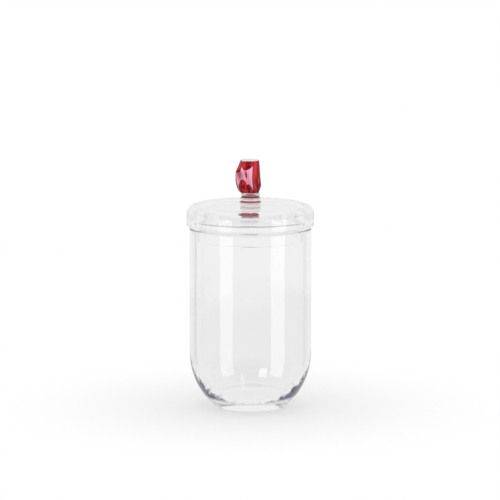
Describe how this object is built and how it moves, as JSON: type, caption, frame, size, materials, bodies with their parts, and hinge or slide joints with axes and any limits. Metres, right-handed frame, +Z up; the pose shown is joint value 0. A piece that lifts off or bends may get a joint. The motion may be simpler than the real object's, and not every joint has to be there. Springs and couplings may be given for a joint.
{
  "type": "lidded glass jar",
  "caption": "Thick clear glass jar with a straight wall and a round bottom, a drop-in glass lid with a domed underside that centres in the mouth, and a red carved-glass knob on a ringed clear foot.",
  "frame": {"origin": "centre of the base, on the plane the jar stands on", "axes": "+Z up the axis of the jar, -Y towards the front as pictured, +X to the right of the picture"},
  "size_m": [0.1032, 0.1032, 0.2022],
  "materials": {
    "jar_glass": "clear polished",
    "lid_glass": "clear polished",
    "foot_glass": "clear polished",
    "red_glass": "deep red polished"
  },
  "bodies": {
    "jar": {"jar_body": "jar_glass"},
    "lid": {"lid": "lid_glass", "knob_foot": "foot_glass", "knob": "red_glass"}
  },
  "joints": [
    {"name": "lid_lift", "type": "slide", "parent": "jar", "child": "lid", "axis": [0, 0, 1], "range_m": [0, 0.12]}
  ]
}
